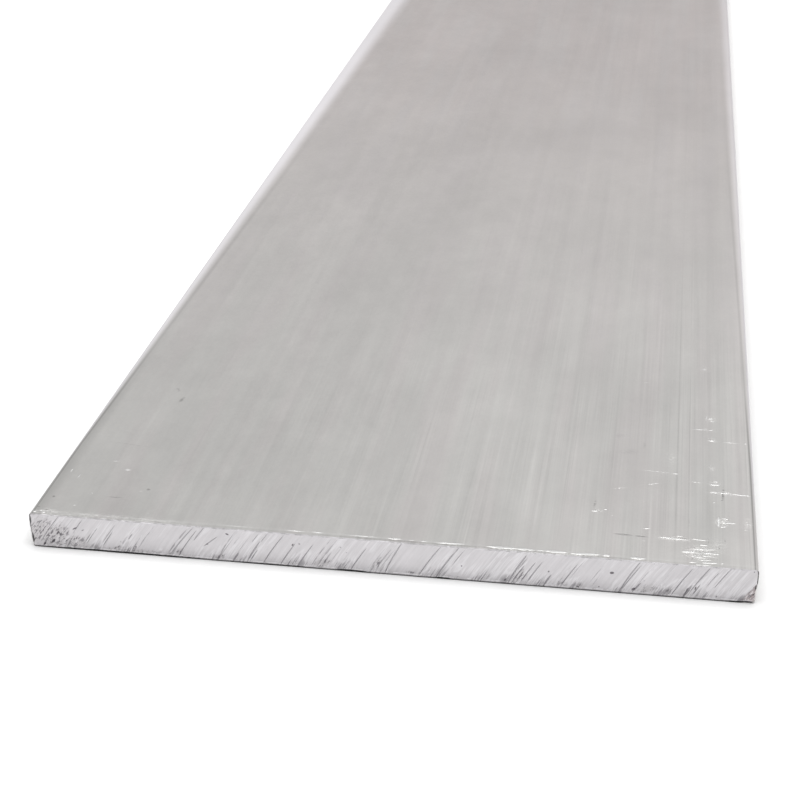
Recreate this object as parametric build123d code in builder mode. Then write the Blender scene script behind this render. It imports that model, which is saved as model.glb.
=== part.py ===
"""Flat bar: one cut length of extruded aluminium flat in mill finish.

The bar is a single piece of stock. Its section is a plain rectangle whose four
corners carry the small radius of the extrusion die, and both ends are sawn
square across, with the sharp edge of each cut just broken.

Frame: X across the width, Y along the length, Z through the thickness. The
origin is the centre of the underside, so the bar lies flat on Z = 0. All sizes
are in millimetres.
"""

from build123d import *

import os

# Section, as it leaves the die
WIDTH = 120.0
THICKNESS = 6.0
CORNER_RADIUS = 0.5

# Cut length, from one sawn end to the other
LENGTH = 500.0

# Width of the broken edge round each sawn end
ARRIS = 0.2


with BuildPart() as flat_bar:
    # The section stands on the floor line, and is drawn through its own
    # corner radii so that they run the whole length as true round edges.
    with BuildSketch(Plane.XZ) as section:
        Rectangle(WIDTH, THICKNESS, align=(Align.CENTER, Align.MIN))
        fillet(section.vertices(), radius=CORNER_RADIUS)
    extrude(amount=LENGTH / 2, both=True)

    # Each saw cut is a flat face square to the length. The file takes the
    # sharp edge off all the way round it, the round corners included.
    sawn_ends = flat_bar.faces().filter_by(Axis.Y)
    chamfer(sawn_ends.edges(), length=ARRIS)

flat_bar.part.label = "flat_bar"

os.makedirs("parts", exist_ok=True)
export_step(flat_bar.part, "parts/flat_bar.step")
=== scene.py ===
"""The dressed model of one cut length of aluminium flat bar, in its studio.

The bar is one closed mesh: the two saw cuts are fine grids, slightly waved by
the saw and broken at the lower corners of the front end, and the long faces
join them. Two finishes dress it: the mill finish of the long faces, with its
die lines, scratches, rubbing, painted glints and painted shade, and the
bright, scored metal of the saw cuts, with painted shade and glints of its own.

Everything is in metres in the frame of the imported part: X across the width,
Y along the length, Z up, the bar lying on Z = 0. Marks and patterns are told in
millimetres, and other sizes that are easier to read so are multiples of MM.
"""

from __future__ import annotations

import logging
import math
from dataclasses import dataclass, field
from enum import Enum
from functools import cached_property
from typing import Any, Callable, Iterable, Mapping, Sequence, TypeVar, Union

import bmesh
import bpy
from mathutils import Matrix, Vector, noise

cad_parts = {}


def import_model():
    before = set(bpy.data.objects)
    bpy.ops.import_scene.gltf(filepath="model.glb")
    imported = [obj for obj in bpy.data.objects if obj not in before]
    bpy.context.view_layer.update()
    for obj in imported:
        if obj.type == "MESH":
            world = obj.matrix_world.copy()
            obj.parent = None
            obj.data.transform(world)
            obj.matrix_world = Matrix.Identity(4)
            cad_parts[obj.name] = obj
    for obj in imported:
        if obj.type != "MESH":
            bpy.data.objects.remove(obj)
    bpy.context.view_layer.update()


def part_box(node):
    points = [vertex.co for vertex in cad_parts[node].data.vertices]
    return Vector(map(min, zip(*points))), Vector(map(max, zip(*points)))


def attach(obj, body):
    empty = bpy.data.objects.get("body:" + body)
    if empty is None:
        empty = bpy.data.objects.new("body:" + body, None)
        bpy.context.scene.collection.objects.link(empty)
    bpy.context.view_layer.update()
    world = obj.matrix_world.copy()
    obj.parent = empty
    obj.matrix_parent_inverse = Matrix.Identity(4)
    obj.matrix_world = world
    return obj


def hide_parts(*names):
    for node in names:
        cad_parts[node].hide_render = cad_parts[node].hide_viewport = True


MM = 0.001

log = logging.getLogger("flat_bar")


# ---- Shader building ----

Operand = Union["Wire", float, int]
Number = TypeVar("Number", float, "Wire")
Mark = TypeVar("Mark", "Stroke", "Groove", "DieLine")
Point = tuple[float, float, float]
Colour = tuple[float, float, float, float]


def operator(operation: str, swapped: bool = False) -> Callable[..., "Wire"]:
    """Makes a method of Wire that adds a Math node.

    Args:
        operation: The node's operation.
        swapped: Whether the Wire is the last operand instead of the first.

    Returns:
        The method, which takes the other operands.
    """

    def method(wire: "Wire", *others: Operand) -> "Wire":
        """Adds the node and returns its result."""
        operands = (*others, wire) if swapped else (wire, *others)
        return wire.bench.maths(operation, *operands)

    return method


class Wire:
    """An output socket on which Python arithmetic adds Math nodes."""

    def __init__(self, bench: "Bench", socket: bpy.types.NodeSocket) -> None:
        """Wraps a socket.

        Args:
            bench: The bench whose material holds the socket's node.
            socket: The output socket to wrap.
        """
        self.bench = bench
        self.socket = socket

    __add__ = __radd__ = operator("ADD")
    __sub__ = operator("SUBTRACT")
    __rsub__ = operator("SUBTRACT", swapped=True)
    __mul__ = __rmul__ = operator("MULTIPLY")
    __truediv__ = operator("DIVIDE")
    __pow__ = operator("POWER")
    __abs__ = operator("ABSOLUTE")
    at_least = operator("MAXIMUM")


class Bench:
    """Adds nodes to one new material and wires them."""

    def __init__(self, name: str) -> None:
        """Makes an empty node material.

        Args:
            name: The material's name.
        """
        self.material = bpy.data.materials.new(name)
        self.material.use_nodes = True
        self.tree = self.material.node_tree
        self.tree.nodes.clear()

    def node(
        self,
        kind: str,
        settings: Mapping[str, Any] | None = None,
        sockets: Mapping[Union[str, int], Any] | None = None,
    ) -> bpy.types.Node:
        """Adds a node.

        Args:
            kind: The node type without its ShaderNode prefix.
            settings: The node's own properties, set before its sockets.
            sockets: A value or a Wire for each input, by name or index.

        Returns:
            The new node.
        """
        made = self.tree.nodes.new("ShaderNode" + kind)
        for key, value in (settings or {}).items():
            setattr(made, key, value)
        for key, value in (sockets or {}).items():
            if isinstance(value, Wire):
                self.tree.links.new(value.socket, made.inputs[key])
            else:
                made.inputs[key].default_value = value
        return made

    def wire(self, node: bpy.types.Node, output: Union[str, int] = 0) -> Wire:
        """Returns one of a node's outputs as a Wire."""
        return Wire(self, node.outputs[output])

    def maths(self, operation: str, *operands: Operand) -> Wire:
        """Adds a Math node and returns its result."""
        return self.wire(self.node("Math", {"operation": operation}, dict(enumerate(operands))))

    def scaled(self, vector: Wire, scale: Sequence[float]) -> Wire:
        """Returns a vector with each of its numbers multiplied."""
        sockets = {0: vector, 1: tuple(scale)}
        return self.wire(self.node("VectorMath", {"operation": "MULTIPLY"}, sockets))

    def split(self, vector: Wire) -> tuple[Wire, Wire, Wire]:
        """Returns a vector's three numbers."""
        node = self.node("SeparateXYZ", None, {0: vector})
        return self.wire(node, 0), self.wire(node, 1), self.wire(node, 2)

    def local(
        self,
        vector: Wire,
        middle: Sequence[float] = (0.0, 0.0, 0.0),
        turn: Sequence[float] = (0.0, 0.0, 0.0),
        size: Sequence[float] = (1.0, 1.0, 1.0),
    ) -> Wire:
        """Looks a vector up in a frame of its own.

        Args:
            vector: The vector.
            middle: The frame's origin.
            turn: The frame's turn about X, Y and Z, in degrees.
            size: The length of the frame's unit along each of its axes.

        Returns:
            The vector as that frame has it.
        """
        sockets = {
            "Vector": vector,
            "Location": tuple(middle),
            "Rotation": tuple(math.radians(angle) for angle in turn),
            "Scale": tuple(size),
        }
        return self.wire(self.node("Mapping", {"vector_type": "TEXTURE"}, sockets))

    def spindle(
        self, vector: Wire, middle: Sequence[float], turn: Sequence[float], size: Sequence[float]
    ) -> Wire:
        """Draws one long, tapering mark.

        Args:
            vector: Where it is read.
            middle: The mark's middle.
            turn: Its turn about X, Y and Z, in degrees.
            size: Its whole size along its own axes.

        Returns:
            The mark, 1 in the middle and 0 on its outline.
        """
        local = self.local(vector, middle, turn, [side / 2 for side in size])
        return self.wire(self.node("TexGradient", {"gradient_type": "SPHERICAL"}, {0: local}), "Fac")

    def noise(
        self, vector: Wire, scale: Sequence[float], detail: float = 2.0, roughness: float = 0.5
    ) -> Wire:
        """Adds a Noise texture.

        Args:
            vector: Where it is read.
            scale: Its cycles per unit of the vector, along each axis.
            detail: How many finer layers it has.
            roughness: How strong those layers are.

        Returns:
            The noise, from 0 to 1.
        """
        sockets = {
            "Vector": self.scaled(vector, scale),
            "Scale": 1.0,
            "Detail": detail,
            "Roughness": roughness,
        }
        return self.wire(self.node("TexNoise", {"noise_dimensions": "3D"}, sockets))

    def ramp(
        self, value: Wire, low: Operand, high: Operand, start: Operand = 0.0, end: Operand = 1.0
    ) -> Wire:
        """Maps a range smoothly onto another.

        Args:
            value: The value.
            low: The value that gives start.
            high: The value that gives end.
            start: The result at and before low.
            end: The result at and after high.

        Returns:
            The mapped value, held inside start and end.
        """
        sockets = {"Value": value, "From Min": low, "From Max": high, "To Min": start, "To Max": end}
        return self.wire(self.node("MapRange", {"interpolation_type": "SMOOTHSTEP"}, sockets))

    def fall(self, value: Wire, low: Operand, high: Operand, start: Operand = 1.0) -> Wire:
        """Returns start up to the value low, falling smoothly to 0 at the value high."""
        return self.ramp(value, low, high, start, 0.0)

    def band(self, value: Wire, inner: Operand, outer: Operand, peak: Operand = 1.0) -> Wire:
        """Returns peak where a value is within inner of 0, falling to 0 at outer on both sides."""
        return self.fall(abs(value), inner, outer, peak)

    def tint(self, amount: Operand, under: Any, over: Any, way: str = "MIX") -> Wire:
        """Lays one colour over another.

        Args:
            amount: How much of the upper colour shows, from 0 to 1.
            under: The lower colour.
            over: The upper colour.
            way: The blend type.

        Returns:
            The mixed colour.
        """
        settings = {"data_type": "RGBA", "blend_type": way, "clamp_factor": True}
        return self.wire(self.node("Mix", settings, {0: amount, 6: under, 7: over}), 2)

    def relief(self, height: Wire, depth: float, under: Wire | None = None) -> Wire:
        """Adds a Bump node.

        Args:
            height: The height, of which 1 stands for depth.
            depth: The real height of the relief, in metres.
            under: Another relief's normal, on which this one lies.

        Returns:
            The bumped normal.
        """
        sockets: dict[Union[str, int], Any] = {"Height": height, "Distance": depth, "Strength": 1.0}
        if under is not None:
            sockets["Normal"] = under
        return self.wire(self.node("Bump", None, sockets))

    def metal(self, colour: Wire, roughness: Wire, normal: Wire) -> bpy.types.Material:
        """Finishes the material as bare metal.

        Args:
            colour: The metal's colour.
            roughness: Its roughness.
            normal: Its bumped normal.

        Returns:
            The material.
        """
        sockets = {"Base Color": colour, "Roughness": roughness, "Normal": normal, "Metallic": 1.0}
        shader = self.wire(self.node("BsdfPrincipled", None, sockets))
        self.node("OutputMaterial", None, {"Surface": shader})
        return self.material


# ---- Marks ----


class Face(Enum):
    """The faces that carry marks placed one by one."""

    TOP = "top"
    FRONT_END = "front end"


@dataclass(frozen=True)
class Stroke:
    """One scratch, nick, pit, staining mark, painted glint or patch of painted shade, in millimetres.

    Attributes:
        x: Its middle, across the bar.
        rise: Its middle, measured from the front end on the top face and from
            the underside on the front end.
        length: Its whole length.
        breadth: Its whole breadth.
        turn: Its direction, in degrees from X towards Y on the top face and
            towards Z on the front end.
        strength: How strongly it shows, from 0 to 1.
    """

    x: float
    rise: float
    length: float
    breadth: float
    turn: float = 0.0
    strength: float = 1.0


@dataclass(frozen=True)
class Groove:
    """One mark of the saw on the front end, in millimetres.

    Attributes:
        foot: Where its sweep meets the underside, across the bar.
        low: The height at which it starts.
        high: The height at which it ends.
        breadth: Its whole breadth.
        strength: How strongly it shows, from 0 to 1.
        tilt: How far it leans from the sweep, in degrees.
    """

    foot: float
    low: float
    high: float
    breadth: float = 0.3
    strength: float = 0.7
    tilt: float = 0.0


@dataclass(frozen=True)
class Sweep:
    """The path of the saw's teeth across the ends, part of a wide circle, in millimetres.

    Attributes:
        slant: How far it leans towards +X per millimetre of height.
        bend: How much more it leans towards the top.
    """

    slant: float = 0.515
    bend: float = 0.02

    def foot(self, x: Number, z: Number) -> Number:
        """Returns where the path through a place meets the underside, across the bar."""
        return x - z * self.slant - z * z * self.bend


@dataclass(frozen=True)
class Chip:
    """The broken lower right corner of the front end, in millimetres.

    Attributes:
        start: Where it starts along the underside, across the bar.
        width: How much further out it is fully broken.
        height: How high it reaches up the corner.
    """

    start: float = 57.25
    width: float = 2.7
    height: float = 3.7

    def share(self, x: Number, z: Number) -> Number:
        """Returns how far into the chip a place is: 0 on its border, 1 at the corner."""
        return (x - self.start) / self.width - z / self.height


@dataclass(frozen=True)
class Knock:
    """The knocked lower left corner of the front end, in millimetres.

    Attributes:
        start: Where it starts, across the bar.
        width: How much further out it is fully knocked.
        height: How high it reaches.
        taper: The power with which it grows less upwards.
        depth: How far the corner is pushed in.
    """

    start: float = -57.0
    width: float = 3.0
    height: float = 5.8
    taper: float = 1.3
    depth: float = 0.55

    def share(self, x: float, z: float) -> float:
        """Returns how far a place is pushed in, from 0 to 1."""
        across = max(0.0, (self.start - x) / self.width)
        upward = max(0.0, 1 - z / self.height)
        return across**2 * upward**self.taper


@dataclass(frozen=True)
class DieLine:
    """One distinct line that the die drew along the whole bar, in millimetres.

    Attributes:
        x: Its place across the bar.
        breadth: Its whole breadth.
        tone: How much lighter or darker than the skin it is.
    """

    x: float
    breadth: float
    tone: float


def table(kind: type[Mark], *rows: tuple[float, ...]) -> tuple[Mark, ...]:
    """Returns a mark for each row of its numbers, which stand in the order of its fields."""
    return tuple(kind(*row) for row in rows)


SWEEP = Sweep()
CHIP = Chip()
KNOCK = Knock()

# Bright scratches and nicks across the top face
RUBS = table(
    Stroke,
    (53.7, 17, 4.8, 0.6, 90), (55.3, 16.8, 2.8, 0.45, 2), (54.8, 18.4, 1.5, 0.45, -15, 0.5),
    (54.5, 15.2, 1.4, 0.4, 20, 0.6), (47.3, 10.4, 1.4, 0.34, 4, 0.5), (46.2, 9.35, 5.6, 0.46, -3),
    (50.5, 9.6, 3.2, 0.36, -6, 0.6), (51.9, 9.8, 1.4, 0.24, 92, 0.4),
    (51.2, 7.7, 2.2, 0.4, 0, 0.5), (51.2, 6.15, 4.8, 0.42, 6, 0.9), (48.9, 4.9, 3, 0.56, 9),
    (50.9, 4.9, 2, 0.26, 66, 0.8), (51.4, 4.6, 1.8, 0.24, 62, 0.7), (51.9, 5, 1.8, 0.24, 64, 0.8),
    (50.5, 4.1, 1.2, 0.3, 58, 0.6), (52.4, 4.85, 3, 0.46, -4, 0.9),
    (50.2, 3.2, 2.2, 0.34, -4, 0.8), (51.8, 3.8, 2.2, 0.3, 12, 0.6),
    (51.5, 3.2, 1.2, 0.26, 60, 0.5), (51.5, 2.3, 2.2, 0.4, 7, 0.9),
    (49.5, 1.2, 1.8, 0.34, 4, 0.4), (52.2, 1.45, 3, 0.44, 6, 0.8), (51.2, 0.55, 3, 0.44, 6, 0.9),
    (54.2, 1.6, 1, 0.4, 40, 0.35), (33, 17.6, 1.2, 0.45, 4, 0.8), (34.8, 18.6, 0.8, 0.4, 8, 0.4),
    (36, 16.4, 0.7, 0.35, 30, 0.25), (41.1, 22.8, 1, 0.6, 60, 0.22),
    (41.9, 12.4, 1.7, 0.45, 4, 0.4), (41.5, 7.7, 1.3, 0.45, 4, 0.25),
    (36.8, 27.6, 6, 0.28, 22, 0.24), (42.6, 30.4, 9, 0.26, 22, 0.24),
    (53, 28.6, 1.7, 0.45, 5, 0.9), (54.8, 28.6, 1.8, 0.45, 2, 0.8),
    (57.6, 28.4, 3.8, 0.45, -5, 0.8), (53.2, 31.9, 2, 0.5, 4, 0.8), (53.3, 33.2, 1, 0.5, 0, 0.7),
    (50, 32.4, 5, 0.28, -4, 0.24), (53, 24.6, 0.7, 0.5, 70, 0.4), (43, 35.8, 9, 0.4, -3, 0.26),
    (46.4, 35.4, 2.2, 0.45, 2, 0.35), (52.8, 38.4, 1, 1.6, 0, 0.2),
    (52.5, 61.4, 1.5, 2, -20, 0.34), (51.8, 62, 3.8, 0.5, 88, 0.34),
    (52.8, 60.4, 1.8, 0.8, 0, 0.3), (50.6, 56.1, 5.4, 0.7, 2, 0.3),
    (52.6, 56.2, 1.4, 0.7, 2, 0.4), (52.7, 51.2, 1.6, 0.7, 2, 0.6), (56.2, 50.9, 6, 0.45, 0, 0.3),
    (58.8, 50.8, 0.6, 0.9, 0, 0.6), (51.4, 86.8, 1.4, 2.4, 0, 0.22), (40.1, 77.7, 2.2, 1, 4, 0.2),
    (58.5, 16.9, 0.5, 0.9, 0, 0.5), (58.2, 14.6, 0.8, 0.5, 0, 0.5),
    (-57.8, 18.1, 2.8, 0.5, 88, 0.32), (-55.9, 16, 2.6, 0.45, 85, 0.32),
    (-51.3, 23.2, 2.2, 0.8, 4, 0.24), (-48.3, 20, 1.7, 1.2, 6, 0.34),
    (-51.8, 9.6, 1.4, 0.4, -60, 0.25), (-53.4, 4.5, 0.9, 0.7, 30, 0.3),
    (-40.5, 3.5, 0.7, 0.5, 10, 0.28), (-59.2, 1, 0.8, 0.6, 20, 0.5),
    (-58.3, 1.6, 0.7, 0.6, 60, 0.4), (-57.7, 1, 0.8, 0.6, -20, 0.5),
    (-56.2, 1.7, 0.7, 0.6, 30, 0.25), (-53.2, 0.9, 0.7, 0.4, 60, 0.25),
    (-48.6, 1.3, 1, 0.5, -50, 0.3), (-43.9, 11.8, 1.2, 0.7, 10, 0.2),
)

# Dark dents, dark rubbing and staining on the top face, with painted shade in the dents and beside a
# nick
STAINS_AND_SHADE = table(
    Stroke,
    (38.1, 9.45, 4.2, 0.9, -3, 0.9), (41, 9.25, 3.2, 0.8, -3, 0.8), (54.5, 27.6, 5, 0.5, 89),
    (54.3, 25.6, 1.2, 0.4, 40, 0.7), (54.6, 29.9, 0.5, 0.9), (32.9, 20.5, 4.8, 0.8, 86, 0.5),
    (33.1, 18.2, 1, 0.5, 0, 0.8), (-42.8, 12.7, 1, 1, 10), (-57.8, 7.2, 0.7, 1.1, 10),
    (-58.4, 1.2, 0.7, 0.6, 0, 0.9), (-57.5, 2, 0.6, 0.6, 0, 0.9), (-56.6, 1.3, 0.8, 0.5, 30, 0.8),
    (-59.1, 2.9, 0.6, 0.8, 60, 0.8), (-47.6, 8.7, 4, 0.6, 2, 0.6),
    (-50.6, 30.7, 14, 0.7, -9, 0.3), (-48.3, 57.5, 3.4, 1.2, -71, 0.5),
    (-46.5, 52.8, 3.8, 1.2, 80, 0.7), (40.6, 47, 5, 1.2, 90, 0.3), (36, 50.5, 5, 3.5, 20, 0.25),
    (38, 43.5, 7, 4.5, 20, 0.25), (45.8, 9.85, 1, 0.45, 0, 0.7), (48.1, 9.8, 1.2, 0.4, 0, 0.7),
    (53.7, 7, 1.2, 0.34, 88, 0.7), (54.7, 9.8, 2.6, 0.34, 92, 0.5), (52, 8.9, 1.4, 0.3, 90, 0.5),
    (49.4, 2.6, 1.6, 0.3, 84, 0.5), (53.4, 2.8, 1.2, 0.3, 96, 0.4),
    (40.7, 1.75, 2.4, 0.3, 2, 0.4), (48.8, 15.5, 8, 0.32, 90, 0.32),
)

# Lines of the die that stand out from the rest
DIE_LINES = table(
    DieLine,
    (35.4, 0.45, 0.08), (42.3, 0.6, 0.08), (44.9, 0.3, -0.05), (46.6, 0.5, -0.14),
    (47.4, 0.25, -0.05), (48.7, 0.34, -0.12), (51.1, 0.3, -0.07), (39.3, 0.3, -0.04),
    (58.7, 0.5, -0.08), (-52.8, 0.6, -0.04), (-54.2, 0.9, 0.05), (-41.9, 0.8, -0.04),
    (-33.5, 0.4, 0.04), (-21, 0.6, -0.05), (-8.6, 0.5, -0.05), (-2.4, 0.4, 0.04),
    (1.2, 0.35, -0.06), (12.5, 0.45, 0.05), (19.8, 0.35, -0.05), (27.4, 0.4, -0.05),
)

# Pits and dark spots on the front end, their dark painted as shade
PITS = table(
    Stroke,
    (36.75, 3.56, 0.95, 0.62, 8), (40.35, 1, 0.95, 0.5, 25), (43.4, 5.8, 0.4, 0.4, 0, 0.4),
    (31.4, 0.6, 0.9, 0.4, -25, 0.7), (34.8, 0.9, 0.45, 0.35, 50, 0.6),
    (48.9, 1.7, 1.7, 0.6, 57, 0.4), (26.6, 2.9, 0.5, 0.55, 0, 0.6), (50.2, 2, 1, 0.35, 75, 0.8),
    (59.25, 5.7, 0.35, 0.3, 0, 0.7), (19.6, 0.8, 0.9, 0.45, 50, 0.7),
    (12.45, 2.65, 0.42, 0.4, 0, 0.7), (-6.5, 3.4, 0.55, 0.4, 0, 0.4),
    (-7.5, 4.3, 0.6, 0.45, 0, 0.4), (-14.35, 4.3, 0.8, 0.75, 0, 0.42),
    (-15.45, 4.05, 0.7, 0.4, 60, 0.8), (-26.4, 5.05, 0.9, 0.45, -20, 0.8),
    (-29.75, 2.95, 0.7, 0.45, 20, 0.5), (-34.7, 1.2, 2, 0.8, 57, 0.35),
    (-52.2, 3.9, 1.3, 0.4, 30, 0.8), (-54.6, 2.6, 0.9, 0.5, 60, 0.8),
    (-55.1, 2.9, 1.5, 0.5, 60, 0.7), (-55.9, 1.3, 1.3, 0.65, 57, 0.9),
    (-57.4, 0.7, 1, 0.45, 50, 0.9), (-56.6, 2.2, 0.8, 0.4, 60, 0.5),
    (-56.2, 3.6, 0.9, 0.35, 55, 0.4), (-53.6, 1.6, 0.8, 0.4, 40, 0.5),
    (-50.8, 3.7, 1.1, 0.35, 25, 0.5), (-44.4, 2.1, 0.5, 0.4, 0, 0.4),
    (42, 2.6, 0.6, 0.4, 60, 0.35), (44.6, 1.9, 0.5, 0.6, 0, 0.35), (58.4, 0.3, 3, 0.36, 2),
    (59.4, 1.6, 0.45, 0.6, 0, 0.8),
)

# Metal smeared and dirtied low on the front end
SMEARS = table(
    Stroke,
    (59, 1.5, 3.4, 1.6, 57, 0.6), (53.8, 0.8, 3.4, 1.2, 0, 0.5), (48.8, 1.2, 3.2, 1.7, 57, 0.6),
    (46, 1.2, 3, 1.6, 20, 0.45), (42.6, 1.2, 6, 3, 30, 0.48), (31.6, 1, 2.2, 1.5, 0, 0.6),
    (28.8, 0.9, 3.4, 1.6, 0, 0.6), (21.9, 1.7, 5, 2.6, 55, 0.55), (11, 0.5, 4.4, 1, 0, 0.5),
    (4.5, 0.7, 4, 1.2, 0, 0.5), (-1.5, 1.8, 4.2, 2.1, 57, 0.6), (-10.5, 1.2, 4.6, 2, 20, 0.7),
    (-27.6, 0.8, 2.2, 1.3, 10, 0.9), (-34.4, 1.2, 2.4, 1.6, 57, 0.8),
    (-42.2, 0.9, 2.2, 1.5, 57, 0.8), (-45, 0.8, 3.6, 1.5, 20, 0.7), (-50, 0.8, 6, 1.4, 5, 0.6),
    (-42, 0.5, 32, 1.8, 0, 0.42), (-55.4, 2.2, 7.4, 5, 50), (-58.2, 3.2, 7.4, 5, 60, 0.8),
    (-52.6, 1.2, 6, 3.2, 20),
)

# Painted glints: bright lengths of the burr along the front edge of the top face
EDGE_GLINTS = table(
    Stroke,
    (-38, 1.3, 15, 0.7, 0, 0.16), (-25, 1.35, 10, 0.7, 0, 0.2), (-15.3, 1.35, 5.2, 0.75, 1, 0.34),
    (-11.5, 1.4, 3, 0.75, 0, 0.34), (-4, 1.35, 9, 0.7, 0, 0.3), (1.2, 1.3, 3.4, 0.8, 0, 0.5),
    (4, 1.25, 1.8, 0.7, 0, 0.3), (6, 1.25, 2, 0.7, 0, 0.34), (10.2, 1.25, 6.8, 0.8, 3, 0.55),
    (18.8, 1.2, 6, 0.95), (22.6, 1.2, 4, 0.9, 0, 0.8), (25, 1.25, 2.6, 0.7, 0, 0.34),
    (27.6, 1.2, 4.4, 0.95), (32.3, 1.2, 5.6, 0.95, 4), (35.7, 1.25, 1.6, 0.85, 0, 0.7),
    (40.7, 1.15, 3.2, 0.95, 0, 0.75), (45.4, 1.2, 2.4, 0.8, 8, 0.16),
)

# Painted shade along the lower edge and at the corners of the front end: a contact shadow under it and
# dark outlines at its sides
EDGE_SHADOWS = table(
    Stroke,
    (-44, 0, 44, 1.1), (-19, 0, 26, 0.9, 0, 0.8), (-5.4, 0.1, 7, 1.1), (9.4, 0.1, 4, 0.8),
    (19.8, 0, 6, 0.7, 0, 0.8), (57.4, 0, 9, 0.95), (-59.9, 4.8, 3, 0.85, 92),
    (-59.5, 1.7, 3.2, 0.8, 98), (59.75, 2.9, 1.5, 0.5, 85, 0.8),
)

# Patches of fine scratches on the top face
SCUFFS = table(
    Stroke,
    (50.6, 4.6, 8, 8.5, 0, 0.8), (46.6, 9.3, 9, 3, 0, 0.7), (54.4, 17, 4.4, 5, 0, 0.8),
    (54.6, 28.6, 9, 3, 0, 0.6), (53.1, 32.4, 4, 4, 0, 0.6), (52.6, 61.4, 3.6, 4.6, 0, 0.6),
    (52.8, 51.3, 3.4, 3, 0, 0.7), (52.4, 56.4, 5, 3, 0, 0.5), (52.6, 39, 2.6, 5, 0, 0.5),
    (51.4, 87, 2.6, 5, 0, 0.6), (33.4, 17.8, 3.4, 2.4, 0, 0.7), (43.6, 35.2, 8, 3, 0, 0.3),
    (-57.4, 1.2, 7, 4), (-46, 0.6, 40, 4.6, 0, 0.7), (53.6, 8, 6, 12, 0, 0.4),
    (45.6, 42, 4, 13, 0, 0.35), (58.6, 17, 3, 8, 0, 0.5), (24, 0.5, 34, 2, 0, 0.6),
)

# The marks of the saw on the front end
GROOVES = table(
    Groove,
    (-58.6, 1.2, 6, 0.3, 0.9), (-57.8, 0.2, 2.2, 0.35, 0.8), (-54.3, 3, 5.9, 0.3, 0.8, -4),
    (-51.3, 1.3, 3.8, 0.26, 0.8), (-50.9, 1.3, 4.2, 0.26, 0.8), (-48.4, 1.2, 5.7, 0.26, 0.6),
    (-48, 1, 4), (-45.1, 0.1, 3.6, 0.6, 0.55), (-42.9, 0.1, 3.4, 0.55, 0.6),
    (-42.05, 0.8, 5.8, 0.28, 0.62), (-36.6, 0.5, 5.9, 0.5, 0.7, 3), (-36, 0.4, 5.9, 0.34, 0.8, 6),
    (-34.8, 0.3, 5.2, 0.3, 0.8), (-34, 3.5, 5.9, 0.34, 0.9), (-31.2, 2.5, 4.6, 0.34, 0.9, 28),
    (-28.4, 0.1, 6, 0.26, 0.6, -4), (-28, 0.1, 5, 0.26, 0.5), (-25.6, 0, 6, 0.26, 0.5),
    (-25.5, 0, 1.8, 0.6, 0.9), (-23.3, 0.1, 4, 0.46, 1, -3), (-23.2, 3.4, 6, 0.28, 0.6, -3),
    (-22.8, 0.1, 2.6, 0.3, 0.8), (-20.5, 0.1, 5.6, 0.32, 0.8), (-17.6, 0.1, 4.3, 0.3, 0.9),
    (-14.7, 0.3, 4.3, 0.32, 0.9), (-12.6, 0.1, 5.9, 0.4, 0.6), (-11.6, 0.1, 5.8, 0.7, 0.6),
    (-5.95, 0.2, 4.3, 0.3, 1), (-3, 0.1, 5.6, 0.8, 0.45), (-2, 0.1, 5.8, 0.4, 0.6),
    (-1.4, 0.1, 5.8, 0.35, 0.5), (-0.7, 0.1, 6, 0.38, 0.9, -9), (5.3, 0.3, 6, 0.32, 0.9),
    (5.75, 2, 5.9, 0.25, 0.4), (8.2, 0, 6, 0.42, 1), (8.7, 0.1, 3.2, 0.35, 0.4),
    (9.4, 2.2, 5.9, 0.3, 0.6), (19.7, 0, 6, 0.45, 0.9, -5), (20.5, 0.1, 3.6, 0.4, 0.8),
    (21.1, 0.3, 2.6, 0.35), (21.8, 0.2, 4.2, 0.36, 0.9), (22.8, 0.1, 4.6, 0.34, 0.8),
    (25.7, 0, 2.4, 0.45, 0.8), (27.7, 0.2, 4.8, 0.28, 0.5), (28.4, 0.2, 4.6, 0.34, 0.8),
    (29, 1.2, 5.8, 0.28, 0.5), (32.5, 0.6, 5.8, 0.3, 0.5), (37.7, 0.1, 6, 0.36, 1, -5),
    (38.1, 0.1, 5.2, 0.3, 0.8), (40, 0.2, 5.8, 0.3, 0.5), (46.2, 0.2, 5.4, 0.32, 0.8),
    (48.7, 1.2, 6, 0.34, 0.8), (48.2, 0, 2.6, 0.7, 0.8), (49.4, 0.2, 2.8, 0.4),
    (50.6, 2.2, 5.8, 0.28, 0.6), (51.9, 2.4, 6, 0.3, 0.8), (-44.6, 2.6, 3.8, 0.4),
    (-42.6, 0.2, 1.6, 0.8, 0.6), (-36, 0.2, 2.4, 0.9, 0.5), (-27.2, 1.6, 5.4, 0.26, 0.5),
    (-24.6, 3, 5.8, 0.28, 0.6), (-10.9, 0.2, 3.4, 0.6, 0.6), (-9.9, 0.8, 4.6, 0.34, 0.5),
    (-8.8, 0.3, 2.4, 0.34, 0.5), (20, 2.6, 5.2, 0.34, 0.6), (33.2, 0.4, 3.6, 0.3, 0.5),
    (40.1, 0.4, 2.2, 0.5, 0.8, 12), (43.4, 1.2, 5.8, 0.3, 0.4),
)


# ---- Finishes ----


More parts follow.
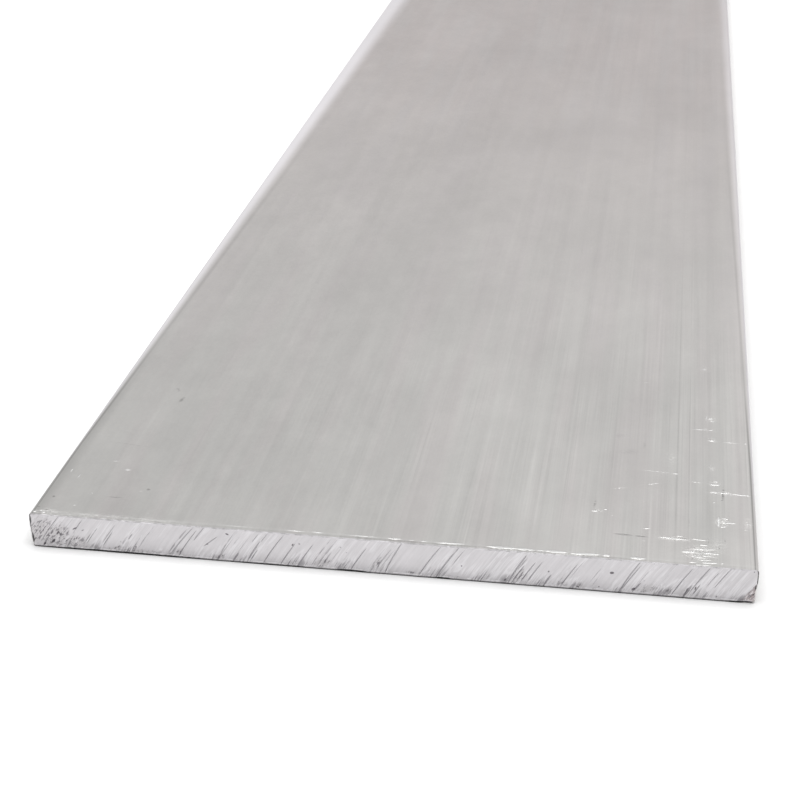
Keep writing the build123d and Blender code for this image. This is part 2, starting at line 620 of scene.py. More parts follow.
@dataclass(frozen=True)
class Finish:
    """What every finish of the bar is told about it.

    Attributes:
        width: The bar's width, in metres.
        thickness: Its thickness.
        length: Its length.
        arris: The width of the broken edge round each saw cut.
        reach: How far a placed mark reaches into the metal, in millimetres.
    """

    width: float
    thickness: float
    length: float
    arris: float
    reach: float = 1.5

    def strokes(self, coat: "Coat", strokes: Iterable[Stroke], face: Face) -> Wire:
        """Draws strokes on a face.

        Args:
            coat: The material under way.
            strokes: The strokes.
            face: The face they lie on.

        Returns:
            How strongly a stroke shows, from 0 to 1.
        """
        shown: Operand = 0.0
        for stroke in strokes:
            if face is Face.TOP:
                middle = (stroke.x, stroke.rise - coat.half, coat.high)
                turn = (0.0, 0.0, stroke.turn)
                size = (stroke.length, stroke.breadth, self.reach)
            else:
                middle = (stroke.x, -coat.half, stroke.rise)
                turn = (0.0, -stroke.turn, 0.0)
                size = (stroke.length, self.reach, stroke.breadth)
            mark = coat.spindle(coat.place, middle, turn, size) * stroke.strength
            shown = mark.at_least(shown)
        return shown


class Coat(Bench):
    """A material under way: where it is read, in millimetres, and the colour laid so far."""

    def __init__(self, name: str, finish: Finish, colour: Any) -> None:
        """Starts the material with the nodes that find the place.

        Args:
            name: The material's name.
            finish: The finish, which knows the bar's sizes.
            colour: The first colour.
        """
        super().__init__(name)
        self.colour = colour
        self.place = self.scaled(self.wire(self.node("TexCoord"), "Object"), (1 / MM,) * 3)
        self.x, self.y, self.z = self.split(self.place)
        self.half = finish.length / MM / 2
        self.side = finish.width / MM / 2
        self.high = finish.thickness / MM

    def lay(self, amount: Operand, colour: Any) -> None:
        """Lays a colour over the colour so far, showing by an amount from 0 to 1."""
        self.colour = self.tint(amount, self.colour, colour)

    def shade(self, tone: Wire) -> None:
        """Makes the colour darker or lighter by a tone, of which 1 leaves it as it is."""
        grey = self.wire(self.node("CombineColor", None, {0: tone, 1: tone, 2: tone}))
        self.colour = self.tint(1.0, self.colour, grey, "MULTIPLY")

    @cached_property
    def run(self) -> Wire:
        """The distance from the front end."""
        return self.y + self.half

    @cached_property
    def from_end(self) -> Wire:
        """The distance from the nearer end."""
        return self.half - abs(self.y)

    @cached_property
    def from_side(self) -> Wire:
        """The distance from the nearer narrow side."""
        return self.side - abs(self.x)

    @cached_property
    def near(self) -> Wire:
        """1 at the front end, and 0 from a little behind the middle."""
        return self.fall(self.y, -self.half, self.half * 0.2)

    @cached_property
    def front(self) -> Wire:
        """1 on the front half of the bar and 0 on the back half."""
        return self.fall(self.y, -1.0, 1.0)

    @cached_property
    def left(self) -> Wire:
        """1 on the left half of the bar and 0 on the right half."""
        return self.ramp(self.x, 1.0, -1.0)

    @cached_property
    def right(self) -> Wire:
        """0 towards the left side and 1 towards the right."""
        return self.ramp(self.x, -self.side * 0.6, self.side * 0.7)

    @cached_property
    def flat(self) -> Wire:
        """1 on the top and the underside, and 0 on the narrow sides."""
        middle = self.high / 2
        return self.ramp(abs(self.z - middle), middle - 0.25, middle - 0.05)


@dataclass(frozen=True)
class MillFinish(Finish):
    """The drawn skin of the long faces: die lines, rubbing and light handling marks, with painted
    glints, highlights and shade.

    Attributes:
        near: The metal's colour at the front end.
        far: Its colour at the back end.
        blush: Its colour where it is faintly warm.
        rub_and_glint: The colour of freshly scratched metal, of the painted glints along the front edge
            and of the painted highlight line behind each end.
        stain_and_shade: The colour of staining, of the painted shade in dents, beside a nick and in a
            line behind each end, and of a darker line beside each long edge.
        edge_highlight: The colour of the painted highlight along the long edges, which also stands for
            rubbing.
        bare: The colour of the broken edge.
        dull: The colour of the broken edge where wear has dulled it.
        shadow_colour: The colour of the painted shade on the broken edge: a contact shadow along the
            underside and dark outlines at the narrow sides.
        gloss: The roughness of the skin.
        hair_depth: The depth of the hair lines, in metres.
        line_depth: The depth of the die lines.
        mark_depth: The depth of scratches and dents.
    """

    near: Colour = (0.712, 0.702, 0.684, 1.0)
    far: Colour = (0.702, 0.651, 0.640, 1.0)
    blush: Colour = (0.712, 0.677, 0.670, 1.0)
    rub_and_glint: Colour = (1.0, 1.0, 0.99, 1.0)
    stain_and_shade: Colour = (0.22, 0.21, 0.21, 1.0)
    edge_highlight: Colour = (0.900, 0.880, 0.905, 1.0)
    bare: Colour = (0.640, 0.625, 0.640, 1.0)
    dull: Colour = (0.46, 0.45, 0.455, 1.0)
    shadow_colour: Colour = (0.03, 0.03, 0.03, 1.0)
    gloss: float = 0.40
    hair_depth: float = 0.004 * MM
    line_depth: float = 0.010 * MM
    mark_depth: float = 0.05 * MM

    def streaks(self, coat: Coat, lines: Wire, hairs: Wire) -> Wire:
        """Draws what the die left: bands, lines and hair lines, crispest in front and on the right.

        Args:
            coat: The material under way.
            lines: The noise of the lines.
            hairs: The noise of the hair lines.

        Returns:
            How much lighter than the skin they are, below 0 where they are darker.
        """
        bands = coat.noise(coat.place, (0.07, 0.002, 0.07))
        fade = coat.noise(coat.place, (0.22, 0.03, 0.22))
        crisp = (0.12 + coat.near**3 * 0.88) * (0.35 + coat.right * 0.65)
        crisp = crisp * coat.ramp(fade, 0.3, 0.7, 0.3, 1.4)
        drawn = (lines - 0.5) * 0.15 * crisp + (hairs - 0.5) * 0.26 * crisp + (bands - 0.5) * 0.08
        for line in DIE_LINES:
            drawn = drawn + coat.band(coat.x - line.x, 0.0, line.breadth / 2) * line.tone * crisp
        return drawn

    def tone(self, coat: Coat, drawn: Wire, clouds: Wire, scuffed: Wire) -> Wire:
        """Adds staining and grain to the streaks, paints shade across the front and along the left edge
        near the front, lightens a strip by the right edge, and darkens the narrow sides, partly as
        duller metal and partly as painted shade.

        Args:
            coat: The material under way.
            drawn: The streaks.
            clouds: The noise of the staining.
            scuffed: How scuffed the skin is, from 0 to 1.

        Returns:
            The skin's tone, about 1.
        """
        blots = coat.noise(coat.place, (0.25, 0.12, 0.25), 3.0, 0.6)
        grain = coat.noise(coat.place, (1.6, 0.8, 1.6), 3.0, 0.7)
        mottle = coat.noise(coat.place, (2.0, 1.6, 2.0), 2.0, 0.7)
        tone = 1.0 + drawn + (clouds - 0.5) * 0.12 + (blots - 0.5) * (0.13 - coat.right * 0.05)
        tone = tone + (grain - 0.5) * (0.12 - coat.right * 0.05)
        tone = tone + scuffed * (mottle - 0.48) * 0.40

        # Painted shade across the front part of the bar, darkest on the left
        front_shade = coat.near * coat.near * coat.fall(coat.x, -coat.side * 0.8, coat.side * 0.8, 0.11)
        light_strip = coat.ramp(coat.x, coat.side - 7.0, coat.side - 3.5) * (0.05 + coat.near * 0.035)
        # Painted shade along the left edge near the front end
        left_edge_shade = coat.left * coat.fall(coat.from_side, 0.9, 3.2, 0.17)
        left_edge_shade = left_edge_shade * coat.fall(coat.run, 40.0, 85.0)
        tone = tone * (1.0 - front_shade) * (1.0 + light_strip) * (1.0 - left_edge_shade)
        # The narrow sides darker: partly duller drawn metal, partly painted shade
        return tone * (0.84 + coat.flat * 0.16)

    def edge_highlights(self, coat: Coat) -> Wire:
        """Paints a highlight along the long edges that also stands for rubbing, widening towards the
        back and wider on the left.

        Args:
            coat: The material under way, which gets the painted edge highlights, a painted highlight on
                the right upper corner and a darker line beside each edge highlight.

        Returns:
            How strongly the painted edge highlight shows.
        """
        run, left = coat.run, coat.left
        # Painted highlight along the long edges: its breadth and how strongly it shows
        breadth = 0.18 + run * 0.0058 + left * (run * 0.0075 - 0.16)
        painted_amount = coat.ramp(run, 60.0, 280.0, 0.32, 0.54) + left * coat.ramp(run, 60.0, 300.0, 0.42, 0.34)
        edge_highlight = coat.fall(coat.from_side, breadth * 0.35, breadth * 1.42) * painted_amount * coat.flat

        # Painted highlight on the rounded upper corner of the right side, from a little behind the
        # front end
        rounded = coat.ramp(coat.from_side, 0.50, 0.30) * coat.ramp(run, 6.0, 45.0)
        rounded = rounded * coat.ramp(coat.x, coat.side - 1.0, coat.side - 0.9)
        rounded = rounded * coat.ramp(coat.z, coat.high - 0.5, coat.high - 0.35)
        coat.lay(edge_highlight.at_least(rounded * 0.85), self.edge_highlight)

        # A darker line just inward of each edge highlight, strongest near the front end
        beside = coat.from_side - (breadth * 1.45).at_least(0.6)
        dark_line = coat.band(beside, 0.0, 0.16 + breadth * 0.28)
        dark_line = dark_line * coat.ramp(run, 40.0, 85.0, 0.60 - left * 0.16, 0.16)
        coat.lay(dark_line * coat.fall(run, 150.0, 290.0) * coat.flat, self.stain_and_shade)
        return edge_highlight

    def marks(self, coat: Coat, scuffed: Wire) -> tuple[Wire, Wire]:
        """Lays the placed marks, among them painted glints along the front edge and painted shade in
        dents, and fine scratches where the skin is scuffed.

        Args:
            coat: The material under way, which gets the marks.
            scuffed: How scuffed the skin is, from 0 to 1.

        Returns:
            How strongly the rubbing and the painted glints show, and the height of the marks.
        """
        broken = coat.noise(coat.place, (1.5, 2.8, 2.0))
        scratches = coat.noise(coat.place, (0.6, 3.4, 1.0), 3.0, 0.7)
        scratched = scuffed * coat.ramp(scratches, 0.48, 0.64)
        # Rubbing, and painted glints along the front edge of the top face
        rubs_and_glints = self.strokes(coat, RUBS + EDGE_GLINTS, Face.TOP) * coat.ramp(broken, 0.30, 0.50, 0.45, 1.2)
        # Staining and dark dents; the dark in the dents and beside a nick is painted shade
        stains_and_shade = self.strokes(coat, STAINS_AND_SHADE, Face.TOP) * coat.ramp(broken, 0.25, 0.55)
        rubbed_and_glinting = coat.ramp(rubs_and_glints, 0.05, 0.40)
        stained_and_shaded = coat.ramp(stains_and_shade, 0.05, 0.60)
        coat.lay(stained_and_shaded * 0.55, self.stain_and_shade)
        coat.lay(scratched * 0.24, self.rub_and_glint)
        coat.lay(rubbed_and_glinting * 0.9, self.rub_and_glint)
        return rubbed_and_glinting, rubbed_and_glinting + scratched * 0.5 + stained_and_shaded * -0.4

    def edges(self, coat: Coat) -> Wire:
        """Dresses the edge broken round each saw cut, and paints a shade line and a highlight line
        beside it.

        Args:
            coat: The material under way, which gets the edge.

        Returns:
            How far a place is on the edge, from 0 to 1.
        """
        from_end, flat = coat.from_end, coat.flat
        wear = coat.noise(coat.place, (0.8, 0.0, 0.8), 3.0, 0.6)
        # Painted highlight line just behind each end, broken up
        light = coat.band(from_end - 1.3, 0.15, 0.55) * coat.ramp(wear, 0.30, 0.48, 0.25, 1.0)
        # Painted shade line nearer each end, darker on the front half between about -6 and 34 mm across
        dull = coat.band(from_end - 0.62, 0.10, 0.42) * coat.ramp(wear, 0.35, 0.60, 1.0, 0.3)
        painted_amount = coat.band(coat.x - 14.0, 20.0, 27.0) * coat.front
        coat.lay(light * flat * 0.08, self.rub_and_glint)
        coat.lay(dull * flat * (0.10 + painted_amount * 0.30), self.stain_and_shade)
        coat.lay(coat.ramp(from_end, 0.30, 0.10) * flat, self.bare)

        edge = coat.ramp(from_end, self.arris / MM * 1.4, self.arris / MM * 0.9)
        metal = coat.tint(coat.ramp(wear, 0.35, 0.6), self.dull, self.bare)
        upright = coat.ramp(coat.from_side, 0.3, 0.1) * coat.ramp(wear, 0.3, 0.5)
        # The broken edge, with painted shade on it: a contact shadow along the underside and dark
        # outlines at the narrow sides
        coat.lay(edge, coat.tint(coat.ramp(coat.z, 0.5, 0.3).at_least(upright), metal, self.shadow_colour))
        return edge

    def make(self) -> bpy.types.Material:
        """Builds the material.

        Returns:
            The material of the long faces.
        """
        coat = Coat("mill_finish", self, self.near)
        lines = coat.noise(coat.place, (0.55, 0.005, 0.55), 3.0, 0.6)
        hairs = coat.noise(coat.place, (2.6, 0.020, 2.6), 2.0, 0.6)
        clouds = coat.noise(coat.place, (0.035, 0.02, 0.035), 4.0, 0.6)
        blush = coat.noise(coat.place, (0.16, 0.012, 0.16))
        scuffed = coat.ramp(self.strokes(coat, SCUFFS, Face.TOP), 0.0, 0.6)

        coat.lay(coat.ramp(coat.y, -coat.half, coat.half * 0.6), self.far)
        coat.lay(coat.ramp(blush, 0.42, 0.66, 0.0, 0.55), self.blush)
        coat.shade(self.tone(coat, self.streaks(coat, lines, hairs), clouds, scuffed))
        edge_highlight = self.edge_highlights(coat)
        rubbed_and_glinting, height = self.marks(coat, scuffed)
        edge = self.edges(coat)

        gloss = self.gloss + (lines - 0.5) * 0.10 + (clouds - 0.5) * 0.12
        gloss = gloss - rubbed_and_glinting * 0.05 + edge * 0.1 + edge_highlight * 0.2
        fine = coat.relief(hairs, self.hair_depth)
        coarse = coat.relief(lines, self.line_depth, fine)
        return coat.metal(coat.colour, gloss, coat.relief(height, self.mark_depth, coarse))


@dataclass(frozen=True)
class SawnFinish(Finish):
    """The bright cut metal of the ends, scored by the saw.

    Attributes:
        colour: The metal's colour.
        hollow_shade: The colour of the painted shade in the bottom of a groove, in pits, on crumbs and
            on the chip's rim.
        glint_colour: The colour of painted glints: along the lip of a groove, on the burr above the
            lower edge and on grains in the chip.
        smear: The colour of metal smeared and dirtied at the underside.
        tan: The colour of the broken metal in the chipped corner.
        shadow_colour: The colour of the painted shade along the lower edge and round the corners.
        pit_shade: The colour of the painted shade down in a pit.
        gloss: The roughness of the cut.
        lean: How far the blotches are turned about Y, in degrees.
        hair_depth: The depth of the hair lines, in metres.
        score_depth: The depth of grooves and pits.
    """

    colour: Colour = (0.618, 0.600, 0.614, 1.0)
    hollow_shade: Colour = (0.21, 0.20, 0.215, 1.0)
    glint_colour: Colour = (0.84, 0.83, 0.85, 1.0)
    smear: Colour = (0.34, 0.315, 0.312, 1.0)
    tan: Colour = (0.36, 0.295, 0.285, 1.0)
    shadow_colour: Colour = (0.03, 0.03, 0.03, 1.0)
    pit_shade: Colour = (0.10, 0.09, 0.10, 1.0)
    gloss: float = 0.42
    lean: float = -57.0
    hair_depth: float = 0.008 * MM
    score_depth: float = 0.05 * MM

    def cuts(self, coat: Coat, swept: Wire, coarse: Wire, broken: Wire) -> Wire:
        """Draws the saw marks: the placed grooves, and thin lines here and there.

        Args:
            coat: The material under way.
            swept: The place, with X following the saw's sweep down to the underside.
            coarse: How coarse the cut is, from 0 to 1.
            broken: The noise that breaks the marks up.

        Returns:
            How deep in a mark the place is, from 0 to 1.
        """
        cut: Operand = 0.0
        for groove in GROOVES:
            middle = (groove.foot, -coat.half, (groove.low + groove.high) / 2)
            size = (groove.breadth * 0.72, self.reach, (groove.high - groove.low) * 1.15)
            mark = coat.spindle(swept, middle, (0.0, groove.tilt, 0.0), size)
            cut = (mark**0.3 * groove.strength).at_least(cut)
        lines = coat.noise(swept, (1.1, 0.1, 0.06), 1.0)
        finer = coat.noise(swept, (2.3, 0.1, 0.09), 1.0)
        thin = coat.band(lines - 0.5, 0.02, 0.07).at_least(coat.band(finer - 0.5, 0.02, 0.07, 0.7))
        return cut.at_least(thin * coarse * 0.6) * coat.ramp(broken, 0.30, 0.50, 0.6, 1.0)

    def painted_shadows(self, coat: Coat, specks: Wire, broken: Wire) -> Wire:
        """Draws the painted shade along the lower edge and round the corners: a contact shadow under
        the end and dark outlines at its sides.

        Args:
            coat: The material under way.
            specks: The noise that frays the painted shade.
            broken: The noise that breaks it up.

        Returns:
            How deep in the painted shade the place is, from 0 to 1.
        """
        shade_mask = self.strokes(coat, EDGE_SHADOWS, Face.FRONT_END) + (1.0 - coat.front) * 0.4
        shade_mask = coat.ramp(shade_mask + (specks - 0.5) * 0.6, 0.1, 0.5)
        under = coat.fall(coat.z, 0.20 + shade_mask * 0.10, 0.34 + shade_mask * 0.13) * (0.5 + shade_mask * 0.5)
        upright = shade_mask * coat.ramp(abs(coat.x), coat.side - 1.2, coat.side - 0.9)
        pushed = (1.0 - coat.z / KNOCK.height).at_least(0.0) ** KNOCK.taper * KNOCK.depth
        corner = coat.fall(coat.x + coat.side - pushed, 0.10, 0.30) * coat.ramp(broken, 0.36, 0.50)
        return under.at_least(corner.at_least(upright) * 0.9)

    def make(self) -> bpy.types.Material:
        """Builds the material.

        Returns:
            The material of the sawn ends.
        """
        coat = Coat("sawn_end", self, self.colour)
        x, z, front = coat.x, coat.z, coat.front
        swept = coat.wire(coat.node("CombineXYZ", None, {0: SWEEP.foot(x, z), 1: coat.y, 2: z}))
        hairs = coat.noise(swept, (1.7, 0.1, 0.12), 4.0, 0.7)
        rough = coat.noise(swept, (0.22, 0.1, 0.16))
        specks = coat.noise(swept, (1.8, 0.5, 0.9), 3.0, 0.7)
        grit = coat.noise(swept, (3.0, 0.5, 1.25), 2.0, 0.7)
        broken = coat.noise(swept, (1.2, 0.1, 0.5))
        leaning = coat.local(coat.place, turn=(0.0, self.lean, 0.0))
        blotches = coat.noise(leaning, (0.30, 0.1, 0.30), 2.0, 0.6)
        low = coat.fall(z, 0.0, coat.high * 0.62)
        coarse = coat.ramp(rough, 0.38, 0.62) * (0.40 + low * 0.60)

        # Saw marks: painted shade in each groove and a painted glint along its lip
        cut = self.cuts(coat, swept, coarse, broken)
        core = coat.ramp(cut, 0.25, 0.65)
        lip = coat.ramp(cut, 0.10, 0.22) * coat.fall(cut, 0.22, 0.40)

        # Smears with pits in them, mostly low down, and single holes, both darkened with painted shade
        smears = (1.0 - front) * coat.ramp(blotches + low * 0.22, 0.56, 0.74) * 0.8
        smears = self.strokes(coat, SMEARS, Face.FRONT_END) + smears
        patch = coat.ramp(smears + (specks - 0.5) * 0.6 + low * 0.04, 0.15, 0.55)
        pits = patch * coat.ramp(grit + (specks - 0.5) * 0.5, 0.51, 0.60)
        holes = self.strokes(coat, PITS, Face.FRONT_END)
        holes = coat.ramp(holes + (specks - 0.5) * 0.25, 0.15, 0.45)

        # The chipped corner, painted shade on its rim and crumbs, painted glints on grains in it, and a
        # painted glint along the burr above the lower edge
        share = CHIP.share(x, z) + (specks - 0.5) * 0.5
        chipped = coat.ramp(share, -0.08, 0.06) * front
        rim = coat.band(share - 0.02, 0.02, 0.12) * front
        crumbs = chipped * coat.ramp(grit, 0.52, 0.62) * 0.7
        burr = coat.band(z - 0.47, 0.04, 0.16) * coat.ramp(broken, 0.40, 0.55) * front

        # Hair lines and blotches, with painted shade darkening the end towards the underside
        tone = 1.0 + (hairs - 0.5) * (0.38 + coarse * 0.60) + (blotches - 0.5) * 0.12 - low * low * 0.15
        tone = tone + (grit - 0.5) * (0.06 + patch * 0.30) - coat.ramp(x, 38.0, 50.0, 0.0, 0.04)
        coat.shade(tone)
        coat.lay(patch * 0.22 + pits * 0.20, self.smear)
        coat.lay(chipped * 0.8, self.tan)
        coat.lay((pits * 0.8).at_least(crumbs), self.hollow_shade)
        coat.lay(chipped * coat.ramp(grit, 0.46, 0.38) * 0.7, self.glint_colour)
        coat.lay(rim * 0.32, self.hollow_shade)
        # Painted glints along the lips of the grooves and along the burr
        coat.lay((lip * 0.32).at_least(burr * 0.6), self.glint_colour)
        # Painted shade in the grooves, deeper low down
        coat.lay(core * (0.54 + low * 0.28), self.hollow_shade)
        coat.lay(holes * 0.85, self.pit_shade)
        # Painted shade: a contact shadow along the underside and dark outlines round the corners
        coat.lay(self.painted_shadows(coat, specks, broken), self.shadow_colour)

        gloss = self.gloss + (hairs - 0.5) * 0.15 + pits * 0.2
        fine = coat.relief(hairs, self.hair_depth)
        height = 1.0 - core - pits * 0.5 - chipped * specks
        return coat.metal(coat.colour, gloss, coat.relief(height, self.score_depth, fine))


# ---- The bar ----


@dataclass
class FlatBar:
    """One cut length of flat bar.

    Attributes:
        low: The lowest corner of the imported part's box.
        high: Its highest corner.
        corner_radius: The radius along the four long edges.
        arris: The width of the broken edge round each sawn end.
        cell: The size of the ends' grid.
        cuts_along: How many rings divide the long faces.
        crowding: The power with which the rings crowd towards the ends.
        waviness: The depth of the saw's washboard on the ends.
        damage_depth: How far from the end the corners' damage has faded to a third.
        name: The object's name.
        width: The bar's width, from the box.
        length: Its length.
        thickness: Its thickness.
    """

    low: Vector
    high: Vector
    corner_radius: float = 0.5 * MM
    arris: float = 0.16 * MM
    cell: float = 0.25 * MM
    cuts_along: int = 19
    crowding: float = 2.4
    waviness: float = 0.05 * MM
    damage_depth: float = 1.2 * MM
    name: str = "bar"

    width: float = field(init=False)
    length: float = field(init=False)
    thickness: float = field(init=False)

    def __post_init__(self) -> None:
        """Works the sizes out from the box."""
        self.width, self.length, self.thickness = self.high - self.low

    def on_section(self, co: Vector, inset: float) -> tuple[float, float]:
        """Carries a place on the full rectangle onto the rounded section.

        Args:
            co: The place on the rectangle.
            inset: How far the section's outline is drawn in.

        Returns:
            The X and Z of the place on the section.
        """
        middle = self.thickness / 2
        core_x = self.width / 2 - self.corner_radius
        core_z = middle - self.corner_radius
        over_x = max(0.0, abs(co.x) - core_x)
        over_z = max(0.0, abs(co.z - middle) - core_z)
        shrink = (self.corner_radius - inset) / self.corner_radius
        if over_x > 0 and over_z > 0:
            shrink *= max(over_x, over_z) / math.hypot(over_x, over_z)
        x = math.copysign(min(abs(co.x), core_x) + over_x * shrink, co.x)
        z = math.copysign(min(abs(co.z - middle), core_z) + over_z * shrink, co.z - middle)
        return x, z + middle

    def saw_cut(self, bm: bmesh.types.BMesh, side: int) -> list[bmesh.types.BMEdge]:
        """Builds one sawn end with the broken edge round it.

        Args:
            bm: The mesh to add it to.
            side: -1 for the front end, 1 for the back.

        Returns:
            The edges of its outer ring, where the long faces start.
        """
        columns = round(self.width / self.cell)
        rows = round(self.thickness / self.cell)
        grid = bmesh.ops.create_grid(bm, x_segments=columns, y_segments=rows, size=0.5)["verts"]
        scale = Matrix.Diagonal((self.width, self.thickness, 1.0, 1.0))
        stand = Matrix.Rotation(math.radians(90), 4, "X")
        turn = Matrix.Rotation(math.radians(90 + 90 * side), 4, "Z")
        lift = Matrix.Translation((0, side * self.length / 2, self.thickness / 2))
        bmesh.ops.transform(bm, matrix=lift @ turn @ stand @ scale, verts=grid)

        rim = [edge for vertex in grid for edge in vertex.link_edges if edge.is_boundary]
        rim = list(dict.fromkeys(rim))
        grown = bmesh.ops.extrude_edge_only(bm, edges=rim)["geom"]
        outer = [item for item in grown if isinstance(item, bmesh.types.BMVert)]
        outline = [item for item in grown if isinstance(item, bmesh.types.BMEdge) and item.is_boundary]
        for vertex in grid:
            vertex.co.x, vertex.co.z = self.on_section(vertex.co, self.arris)
        for vertex in outer:
            vertex.co.x, vertex.co.z = self.on_section(vertex.co, 0.0)
            vertex.co.y -= side * self.arris
        for edge in rim + outline:
            edge.smooth = False
        return outline

    def blank(self) -> bmesh.types.BMesh:
        """Builds the plain closed bar: two sawn ends joined by the long faces.

        Returns:
            The mesh, with material 1 on the sawn ends and 0 elsewhere.
        """
        bm = bmesh.new()
        outlines = self.saw_cut(bm, -1) + self.saw_cut(bm, 1)
        sides = bmesh.ops.bridge_loops(bm, edges=outlines)["edges"]
        bmesh.ops.subdivide_edges(bm, edges=sides, cuts=self.cuts_along, use_grid_fill=True)
        reach = self.length / 2 - self.arris
        for vertex in bm.verts:
            share = vertex.co.y / reach
            if abs(share) < 1 - 1e-6:
                vertex.co.y = math.copysign(reach * (1 - (1 - abs(share)) ** self.crowding), share)
        bmesh.ops.recalc_face_normals(bm, faces=bm.faces)
        for face in bm.faces:
            face.smooth = True
            face.material_index = int(abs(face.normal.y) > 0.9)
        return bm

    def wear(self, bm: bmesh.types.BMesh) -> None:
        """Waves both saw cuts and breaks the lower corners of the front end.

        Args:
            bm: The plain bar.
        """
        for vertex in bm.verts:
            co = vertex.co
            x, z = co.x / MM, co.z / MM
            depth = self.length / 2 - abs(co.y)
            near = math.exp(-depth / self.damage_depth)
            if near < 0.01:
                continue
            rough = noise.noise(Vector((x * 1.3, co.y * 9, z * 1.3)))
            if depth < 0.05 * MM:
                wave = noise.noise(Vector((SWEEP.foot(x, z) * 0.35, co.y * 50, z * 0.05)))
                co.y -= math.copysign(self.waviness, co.y) * (0.5 + 0.5 * wave)
            if co.y < 0:
                self.break_corner(co, near, rough)

    def break_corner(self, co: Vector, near: float, rough: float) -> None:
        """Moves a place in where it is on a broken corner of the front end.

        Args:
            co: The place, which is changed.
            near: 1 on the end, falling to 0 away from it.
            rough: The roughness of the break there, from -1 to 1.
        """
        x, z = co.x / MM, co.z / MM
        chip = min(1.0, max(0.0, CHIP.share(x, z)))
        co.y += chip * near * (0.30 + 0.35 * rough) * MM
        co.x -= chip * near * (0.35 + 0.25 * rough) * MM
        co.z += max(0.0, chip - 0.5) * near * max(0.0, 0.6 - z) * MM * 0.3
        knocked = KNOCK.share(x, z)
        co.x += knocked * near * (KNOCK.depth + 0.25 * rough) * MM
        co.y += knocked * near * (0.15 + 0.2 * rough) * MM

    def build(self) -> bpy.types.Object:
        """Builds the bar as an object.

        Returns:
            The object, at the origin, with its two material slots filled.
        """
        bm = self.blank()
        self.wear(bm)
        mesh = bpy.data.meshes.new(self.name)
        bm.to_mesh(mesh)
        bm.free()
        piece = bpy.data.objects.new(self.name, mesh)
        bpy.context.scene.collection.objects.link(piece)
        sizes = (self.width, self.thickness, self.length, self.arris)
        mesh.materials.append(MillFinish(*sizes).make())
        mesh.materials.append(SawnFinish(*sizes).make())
        return piece


# ---- Studio ----


@dataclass(frozen=True)
class Softbox:
    """A soft rectangular light that faces the origin.

    Attributes:
        name: Its name.
        place: Its centre.
        size: Its two sides.
        radiance: How bright its face is.
    """

    name: str
    place: Point
    size: tuple[float, float]
    radiance: float

    def hang(self) -> None:
        """Hangs the light in the scene."""
        light = bpy.data.lights.new(self.name, "AREA")
        light.shape = "RECTANGLE"
        light.size, light.size_y = self.size
        light.energy = self.radiance * math.pi * self.size[0] * self.size[1]
        lamp = bpy.data.objects.new(self.name, light)
        lamp.location = self.place
        aim = Vector() - Vector(self.place)
        lamp.rotation_euler = aim.to_track_quat("-Z", "Y").to_euler()
        bpy.context.scene.collection.objects.link(lamp)


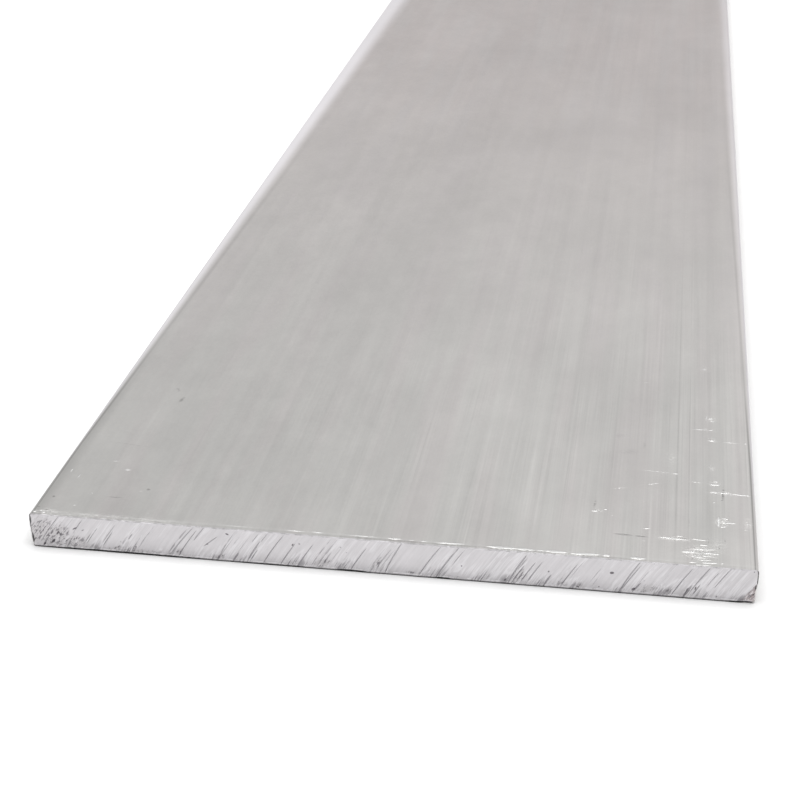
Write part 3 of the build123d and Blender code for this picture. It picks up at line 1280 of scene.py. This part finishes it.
@dataclass
class Studio:
    """The pale floor, the soft lights and the camera.

    Attributes:
        floor_size: The side of the square floor.
        paper: How pale the floor is, from 0 to 1.
        surround: How bright the even surround is.
        softboxes: The lights.
        sensor: The width of the camera's sensor, in millimetres.
        frame_pixels: The width of the frame, in pixels.
        focal_pixels: The camera's focal length, in the same pixels.
        eye: The place of the camera.
        yaw: Its heading, in degrees from +Y towards +X.
        pitch: How far it looks down, in degrees.
        roll: How far it is turned about its line of sight, in degrees.
    """

    floor_size: float = 8.0
    paper: float = 0.95
    surround: float = 0.50
    softboxes: tuple[Softbox, ...] = (
        Softbox("overhead", (0.0, -0.1, 1.5), (1.6, 1.6), 2.75),
        Softbox("behind", (0.0, 1.6, 1.0), (2.6, 1.1), 0.13),
    )
    sensor: float = 36.0
    frame_pixels: float = 800.0
    focal_pixels: float = 2050.2
    eye: Point = (0.03981, -0.54657, 0.15453)
    yaw: float = -7.307
    pitch: float = 22.441
    roll: float = 1.217

    def floor(self) -> None:
        """Builds the floor, just under the bar."""
        bm = bmesh.new()
        bmesh.ops.create_grid(bm, x_segments=1, y_segments=1, size=self.floor_size / 2)
        mesh = bpy.data.meshes.new("floor")
        bm.to_mesh(mesh)
        bm.free()
        floor = bpy.data.objects.new("floor", mesh)
        bpy.context.scene.collection.objects.link(floor)
        bench = Bench("floor_paper")
        colour = (self.paper, self.paper, self.paper, 1.0)
        sockets = {"Base Color": colour, "Roughness": 0.9, "Specular IOR Level": 0.1}
        shader = bench.wire(bench.node("BsdfPrincipled", None, sockets))
        bench.node("OutputMaterial", None, {"Surface": shader})
        mesh.materials.append(bench.material)

    def lights(self) -> None:
        """Sets the even surround and hangs the softboxes."""
        world = bpy.data.worlds.new("surround")
        world.use_nodes = True
        background = world.node_tree.nodes["Background"]
        background.inputs["Color"].default_value = (1.0, 1.0, 1.0, 1.0)
        background.inputs["Strength"].default_value = self.surround
        bpy.context.scene.world = world
        for softbox in self.softboxes:
            softbox.hang()

    def camera(self) -> None:
        """Sets up the camera."""
        data = bpy.data.cameras.new("camera")
        data.sensor_width = self.sensor
        data.sensor_fit = "HORIZONTAL"
        data.lens = self.focal_pixels * self.sensor / self.frame_pixels
        data.clip_start = 0.01
        yaw, pitch, roll = (math.radians(angle) for angle in (self.yaw, self.pitch, self.roll))
        level = math.cos(pitch)
        ahead = Vector((math.sin(yaw) * level, math.cos(yaw) * level, -math.sin(pitch)))
        right = Vector((math.cos(yaw), -math.sin(yaw), 0.0))
        up = right.cross(ahead)
        tilted_right = right * math.cos(roll) + up * math.sin(roll)
        tilted_up = up * math.cos(roll) - right * math.sin(roll)
        turn = Matrix((tilted_right, tilted_up, -ahead)).transposed()
        camera = bpy.data.objects.new("camera", data)
        camera.matrix_world = Matrix.Translation(self.eye) @ turn.to_4x4()
        bpy.context.scene.collection.objects.link(camera)
        bpy.context.scene.camera = camera

    def set_up(self) -> None:
        """Builds the whole studio and chooses how light becomes picture."""
        self.floor()
        self.lights()
        self.camera()
        bpy.context.scene.view_settings.view_transform = "Standard"


def main() -> None:
    """Loads the frame, builds the bar over its node and sets up the studio."""
    logging.basicConfig(level=logging.INFO, format="%(name)s: %(message)s")
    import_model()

    low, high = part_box("flat_bar")
    bar = FlatBar(low, high).build()
    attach(bar, "root")
    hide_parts("flat_bar")
    log.info("%s: %d faces", bar.name, len(bar.data.polygons))

    Studio().set_up()


if __name__ == "__main__":
    main()
